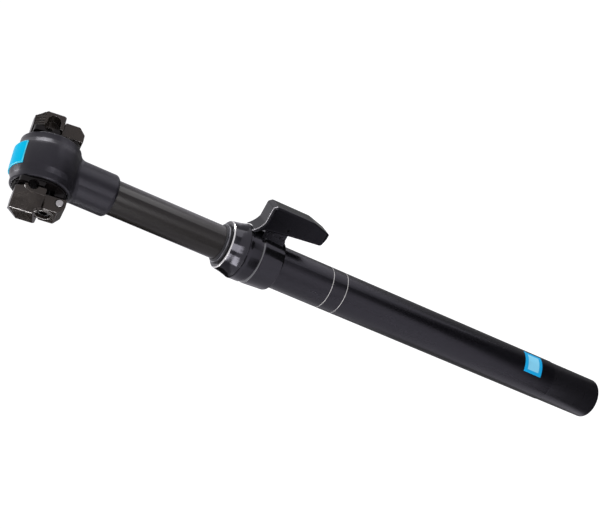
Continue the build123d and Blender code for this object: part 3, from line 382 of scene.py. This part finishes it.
# End plug and bottom cap: turned aluminium. The plug closes the tube and carries the rod, and the
# cap is a black sleeve over the air valve, with fine turning marks round it.
def edged_copy(node, name, bevel, segments=2, angle=28.0, smooth=35.0, clamped=True):
    """A merged copy of a CAD node with its sharp edges broken, which is shown in the node's place and
    stays inside the node's box."""
    mesh = nodes[node].data.copy()
    piece = bpy.data.objects.new(name, mesh)
    bpy.context.scene.collection.objects.link(piece)
    take_up(piece)
    mesh.materials.clear()
    bpy.ops.mesh.customdata_custom_splitnormals_clear()
    bpy.ops.object.mode_set(mode="EDIT")
    bpy.ops.mesh.select_all(action="SELECT")
    bpy.ops.mesh.remove_doubles(threshold=weld)
    bpy.ops.mesh.select_all(action="SELECT")
    bpy.ops.mesh.dissolve_limited(angle_limit=math.radians(0.5))
    bpy.ops.object.mode_set(mode="OBJECT")
    edges = piece.modifiers.new("broken_edges", "BEVEL")
    edges.width = bevel
    edges.segments = segments
    edges.limit_method = "ANGLE"
    edges.angle_limit = math.radians(angle)
    edges.miter_outer = "MITER_ARC"
    edges.use_clamp_overlap = clamped
    bpy.ops.object.modifier_apply(modifier="broken_edges")
    low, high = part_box(node)
    for vertex in mesh.vertices:
        vertex.co = [min(max(place, least), most) for place, least, most in zip(vertex.co, low, high)]
    bpy.ops.object.shade_smooth_by_angle(angle=math.radians(smooth))
    even = piece.modifiers.new("even_shading", "WEIGHTED_NORMAL")
    even.keep_sharp = True
    bpy.ops.object.modifier_apply(modifier="even_shading")
    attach(piece, nodes[node]["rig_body"])
    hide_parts(node)
    return piece


bare_aluminium = (0.62, 0.62, 0.63)
cap_black = (0.0065, 0.0062, 0.0075)
bare_turned = finish("bare_turned", bare_aluminium, 0.28, metallic=1.0, drawn=(1.0, 1.0, 20.0), cloud=0.12)
paint("end_plug", bare_turned)
cap_finish = finish("cap_anodising", cap_black, 0.30, drawn=(1.0, 1.0, 14.0), cloud=0.2, depth=0.000006)
cap = edged_copy("bottom_cap", "bottom_cap_dressed", 0.0004)
cap.data.materials.append(cap_finish)

# Air valve: a plated steel core screwed into the rod's foot, under a moulded rubber dust cap that is
# pushed over the rod. A pump goes on it from below, up the bottom cap.
bright_steel = finish("bright_steel", (0.58, 0.57, 0.56), 0.22, metallic=1.0, cloud=0.15, depth=0.000004)
paint("valve_core", bright_steel)
soft_rubber = finish("black_rubber", (0.018, 0.018, 0.018), 0.62, cloud=0.3, grain=2600.0, depth=0.00002)
paint("valve_cap", soft_rubber)

# Piston rod: ground and bare aluminium, threaded at both ends. A washer and a nut pull it into the
# end plug, and another nut holds the air piston on its neck; these are plated steel.
rod_bare = (0.68, 0.68, 0.70)
paint("piston_rod", finish("ground_rod", rod_bare, 0.16, metallic=1.0, drawn=(1.0, 1.0, 8.0), cloud=0.1))
for fastener in ("rod_washer", "rod_nut", "piston_nut"):
    paint(fastener, bright_steel)

# Air piston and its seals and bumpers: turned aluminium, nitrile rings, and firm grey polyurethane
# at both ends of the travel.
paint("air_piston", bare_turned)
for ring in ("plug_o_ring", "piston_seal", "rod_seal", "head_plug_o_ring"):
    paint(ring, soft_rubber)
bumper_finish = finish("bumper_grey", (0.12, 0.12, 0.115), 0.55, cloud=0.2, grain=2200.0, depth=0.00002)
for bumper in ("bottom_bumper", "top_bumper"):
    paint(bumper, bumper_finish)


# Collar: forged and turned aluminium in gloss black, bonded on the tube, with the lever's lug on its
# side. The bead below its waist is cut bright after the black has gone on.
def cut_bright(piece, low, high, material):
    """The bright metal of a ring that was cut after the black went on."""
    piece.data.materials.append(material)
    for face in piece.data.polygons:
        if low < face.center.z < high:
            face.material_index = len(piece.data.materials) - 1


gloss_black = (0.004, 0.004, 0.0046)
bead_low = collar_foot + 0.0172
bead_high = collar_foot + 0.0180
collar = edged_copy("collar", "collar_dressed", 0.00018)
collar.data.materials.append(
    finish("collar_gloss", gloss_black, 0.13, cloud=0.3, depth=0.000003, wear=0.08))
cut_metal = finish("cut_metal", (0.16, 0.16, 0.165), 0.20, metallic=1.0, drawn=(1.0, 1.0, 30.0), cloud=0.1)
cut_bright(collar, bead_low, bead_high, cut_metal)

# Collar nut: a turned cone in the same gloss black that screws into the collar and holds the wiper,
# with a bright cut rim.
rim_low = collar_foot + 0.0409
rim_high = collar_foot + 0.0416
nut = edged_copy("collar_nut", "collar_nut_dressed", 0.00015)
nut.data.materials.append(
    finish("nut_gloss", gloss_black, 0.12, drawn=(1.0, 1.0, 12.0), cloud=0.3, depth=0.000003))
bright_cut = finish("bright_cut", (0.62, 0.61, 0.60), 0.18, metallic=1.0, drawn=(1.0, 1.0, 30.0), cloud=0.1)
cut_bright(nut, rim_low, rim_high, bright_cut)

# Bushings: rings of a low-friction plastic that the stanchion slides in, one pressed into the collar
# and one, split, on the stanchion's foot, where a sprung steel clip holds it.
bushing_green = (0.07, 0.10, 0.085)
bushing_finish = finish("bushing_plastic", bushing_green, 0.5, cloud=0.25, grain=3000.0, depth=0.00001)
for bushing in ("upper_bushing", "lower_bushing"):
    paint(bushing, bushing_finish)
paint("bushing_clip", bright_steel)

# Wiper: a moulded rubber lip seal, pushed into the collar nut, that scrapes the stanchion clean. A
# split steel band is sprung round its lip.
paint("wiper_seal", soft_rubber)
paint("wiper_ring", finish("sprung_steel", (0.20, 0.20, 0.21), 0.24, metallic=1.0, cloud=0.2))

# Lever: a channel moulded in gloss black, which straddles the lug and turns on a pin of the same
# black. It is squeezed towards the tube. A pale grey strip is painted along the near edge of its top,
# where the surface faces the near side and upward: a painted highlight.
lever_black = (0.003, 0.003, 0.0038)
lever_near_side = (0.74, -0.68, 0.0)
strip_lean = 0.40
strip_spread = 0.22
strip_rise = 0.3
strip_foot = collar_foot + 0.020
painted_highlight_grey = (0.40, 0.39, 0.40)
lever = edged_copy("lever", "lever_dressed", 0.0003, segments=3)
lever_finish = finish("lever_gloss", lever_black, 0.16, cloud=0.3, grain=900.0, depth=0.000006,
                      shine=0.18, wear=0.10)
lever.data.materials.append(lever_finish)
lever_tree = lever_finish.node_tree
lever_place = lever_tree.nodes.new("ShaderNodeTexCoord")
sideways = lever_tree.nodes.new("ShaderNodeVectorMath")
sideways.operation = "DOT_PRODUCT"
sideways.inputs[1].default_value = lever_near_side
lever_tree.links.new(lever_place.outputs["Normal"], sideways.inputs[0])
# Painted highlight: pale grey laid over where the normal faces the near side and upward, high on the lever.
strip = mask_where(lever_tree, sideways.outputs["Value"], "COMPARE", strip_lean, strip_spread)
for coordinate, least in (("Normal", strip_rise), ("Object", strip_foot)):
    upward = lever_tree.nodes.new("ShaderNodeSeparateXYZ")
    lever_tree.links.new(lever_place.outputs[coordinate], upward.inputs[0])
    strip = product(lever_tree, strip, mask_where(lever_tree, upward.outputs["Z"], "GREATER_THAN", least))
lay_over(lever_finish, strip, painted_highlight_grey)
paint("lever_pin", lever_finish)

# Lock: a bronze shoe that a coil spring presses on the stanchion, in a bore across the lug. A black
# steel gland closes the bore, and the nut on the shoe's stem is what the lever pulls.
black_steel = finish("black_steel", (0.06, 0.06, 0.062), 0.26, metallic=1.0, cloud=0.25, depth=0.000005,
                     wear=0.6, worn_to=(0.4, 0.4, 0.4))
bronze = finish("bronze", (0.46, 0.30, 0.14), 0.34, metallic=1.0, cloud=0.25)
paint("lock_shoe", bronze)
paint("lock_spring", bright_steel)
paint("lock_gland", black_steel)
paint("lock_stem_nut", bright_steel)

# Stanchion: the sliding aluminium tube, ground lengthwise and hard-anodised a dark brownish grey, with
# bronze keys on its foot that stop it from turning.
stanchion_brown = (0.0075, 0.0062, 0.0048)
stanchion_finish = finish("stanchion_anodising", stanchion_brown, 0.22, drawn=(1.0, 1.0, 0.01),
                          cloud=0.55, grain=2500.0, depth=0.000006, gleam=(1.0, 0.98, 0.98))
paint("stanchion", stanchion_finish)
paint("guide_keys", bronze)

# Seal head, head plug and tilt barrel: turned aluminium, left bare inside the post. The first two
# close the stanchion for the air spring, and the barrel turns in the drum with the saddle.
for turned_piece in ("seal_head", "head_plug", "tilt_barrel"):
    paint(turned_piece, bare_turned)

# Head: the drum and its neck, one aluminium forging pressed on the stanchion, blasted and anodised a
# satin dark grey. A shallow cove is turned along each rim of the drum and runs out towards the neck.
# Its profile is given as pairs of a distance from the drum's middle and a radius.
head_grey = (0.0065, 0.0062, 0.0078)
drum_centre = collar_foot + 0.179
drum_shoulder = (0.0086, 0.0226)
drum_rim = (0.0162, 0.0209)
cove_profile = ((0.0089, 0.02247), (0.0119, 0.02124), (0.0125, 0.02110))
cove_ends_below = -28.0
cove_fades_over = 20.0
cove_margin = 0.0001
on_cone = 0.0002
hair = 0.00001
head = edged_copy("head", "head_dressed", 0.0003, segments=3)
head_finish = finish("head_anodising", head_grey, 0.36, cloud=0.2, grain=2600.0, depth=0.000012,
                     shine=0.36, wear=0.2)
head.data.materials.append(head_finish)
for side in (-1.0, 1.0):
    for reach, radius in cove_profile:
        take_up(head)
        bpy.ops.object.mode_set(mode="EDIT")
        bpy.ops.mesh.select_all(action="SELECT")
        bpy.ops.mesh.bisect(plane_co=(0.0, side * reach, 0.0), plane_no=(0.0, 1.0, 0.0))
        bpy.ops.object.mode_set(mode="OBJECT")
cone_slope = (drum_shoulder[1] - drum_rim[1]) / (drum_rim[0] - drum_shoulder[0])
for vertex in head.data.vertices:
    rise = vertex.co.z - drum_centre
    radius = math.hypot(vertex.co.x, rise)
    reach = abs(vertex.co.y)
    cone = drum_shoulder[1] - cone_slope * (reach - drum_shoulder[0])
    between = drum_shoulder[0] + cove_margin < reach < drum_rim[0] - cove_margin
    if not between or abs(radius - cone) > on_cone:
        continue
    before, after = drum_shoulder, drum_rim
    for point in cove_profile:
        if point[0] < reach - hair:
            before = point
    for point in reversed(cove_profile):
        if point[0] >= reach - hair:
            after = point
    along = (reach - before[0]) / max(after[0] - before[0], hair)
    wanted = before[1] + along * (after[1] - before[1])
    up = math.degrees(math.asin(rise / radius))
    fade = min(1.0, max(0.0, (up - cove_ends_below) / cove_fades_over))
    scale = (radius + fade * (wanted - radius)) / radius
    vertex.co.x *= scale
    vertex.co.z = drum_centre + rise * scale
bpy.ops.object.shade_smooth_by_angle(angle=math.radians(35))

# Top plate: a strip of aluminium, anodised cyan-blue and glued into a pocket in the drum's crown. Its
# edges are cut back at a slant and come out a little paler.
plate_cyan = (0.0, 0.60, 1.0)
plate_pale = (0.12, 0.78, 1.0)
slant_least = 0.15
slant_most = 0.97
plate = edged_copy("top_plate", "top_plate_dressed", 0.0005, segments=3)
plate.data.materials.append(finish("plate_anodising", plate_cyan, 0.30, cloud=0.06, shine=0.02))
plate.data.materials.append(finish("plate_edge", plate_pale, 0.22, cloud=0.06))
for face in plate.data.polygons:
    outward = Vector((face.center.x, 0.0, face.center.z - drum_centre)).normalized()
    if slant_least < face.normal.dot(outward) < slant_most:
        face.material_index = 1

# Cradles: the inner halves of the rail clamp, forged aluminium anodised black. One sits in each end
# of the drum, with its spigot in the barrel that tilts the saddle.
cradle_black = (0.0060, 0.0050, 0.0050)
cradle_finish = finish("clamp_anodising", cradle_black, 0.24, cloud=0.35, grain=1400.0, depth=0.00002,
                       shine=0.16, wear=0.08, gleam=(1.0, 0.96, 0.98))
for side in ("right", "left"):
    cradle = edged_copy(f"cradle_{side}", f"cradle_{side}_dressed", 0.00025)
    cradle.data.materials.append(cradle_finish)

# Jaws: the outer halves of the rail clamp, one forging used twice, turned round for the left side and
# anodised a brown black. The die leaves a fine crossed hatching on them. Along the ridge down the
# middle of each outer face a pale colour is painted where the normal faces one bearing: a painted
# highlight.
jaw_brown = (0.0125, 0.0092, 0.0066)
hatching_scale = 330.0
hatching_depth = 0.00004
ridge_bearing = math.radians(-81.3)
ridge_lean = 0.04
ridge_starts = 0.990
ridge_full = 0.995
painted_ridge_highlight = (0.52, 0.50, 0.49)
jaw_finish = finish("jaw_anodising", jaw_brown, 0.22, cloud=0.5, grain=1400.0, depth=0.00002,
                    shine=0.42, wear=0.3, worn_to=(0.3, 0.29, 0.28), gleam=(1.0, 0.92, 0.88))
jaw_tree = jaw_finish.node_tree
jaw_place = jaw_tree.nodes.new("ShaderNodeTexCoord")
below = jaw_tree.nodes["grain"]
for slant in (-45.0, 45.0):
    laid = jaw_tree.nodes.new("ShaderNodeMapping")
    laid.inputs["Rotation"].default_value = (0.0, math.radians(slant), 0.0)
    jaw_tree.links.new(jaw_place.outputs["Object"], laid.inputs["Vector"])
    lines = jaw_tree.nodes.new("ShaderNodeTexWave")
    lines.inputs["Scale"].default_value = hatching_scale
    lines.inputs["Distortion"].default_value = 0.6
    jaw_tree.links.new(laid.outputs[0], lines.inputs["Vector"])
    dent = jaw_tree.nodes.new("ShaderNodeBump")
    dent.inputs["Strength"].default_value = 0.5
    dent.inputs["Distance"].default_value = hatching_depth
    jaw_tree.links.new(lines.outputs["Fac"], dent.inputs["Height"])
    jaw_tree.links.new(dent.outputs[0], below.inputs["Normal"])
    below = dent
# Painted highlight: a pale colour laid over where the normal faces the ridge's bearing, on either jaw.
across = jaw_tree.nodes.new("ShaderNodeVectorMath")
across.operation = "DOT_PRODUCT"
across.inputs[1].default_value = (math.cos(ridge_bearing), math.sin(ridge_bearing), ridge_lean)
jaw_tree.links.new(jaw_place.outputs["Normal"], across.inputs[0])
either_side = jaw_tree.nodes.new("ShaderNodeMath")
either_side.operation = "ABSOLUTE"
jaw_tree.links.new(across.outputs["Value"], either_side.inputs[0])
ridge_highlight_mask = jaw_tree.nodes.new("ShaderNodeMapRange")
ridge_highlight_mask.inputs["From Min"].default_value = ridge_starts
ridge_highlight_mask.inputs["From Max"].default_value = ridge_full
jaw_tree.links.new(either_side.outputs[0], ridge_highlight_mask.inputs["Value"])
lay_over(jaw_finish, ridge_highlight_mask.outputs[0], painted_ridge_highlight)
for side in ("right", "left"):
    jaw = edged_copy(f"jaw_{side}", f"jaw_{side}_dressed", 0.0006, segments=3, angle=18.0, smooth=16.0,
                     clamped=False)
    jaw.data.materials.append(jaw_finish)

# Clamp bolt: black steel, with its washers and barrel nut; it draws both jaws to the cradles. The
# pins that the jaws rock on are bright steel, pressed into the jaws, with domed ends.
for fastener in ("clamp_bolt", "bolt_washer", "nut_washer", "clamp_nut"):
    paint(fastener, black_steel)
pin_grey = (0.34, 0.33, 0.33)
pin_steel = finish("pin_steel", pin_grey, 0.26, metallic=1.0, cloud=0.6, grain=500.0, depth=0.0003)
for side in ("right", "left"):
    pin = edged_copy(f"fulcrum_pin_{side}", f"fulcrum_pin_{side}_dressed", 0.0009, segments=4)
    pin.data.materials.append(pin_steel)
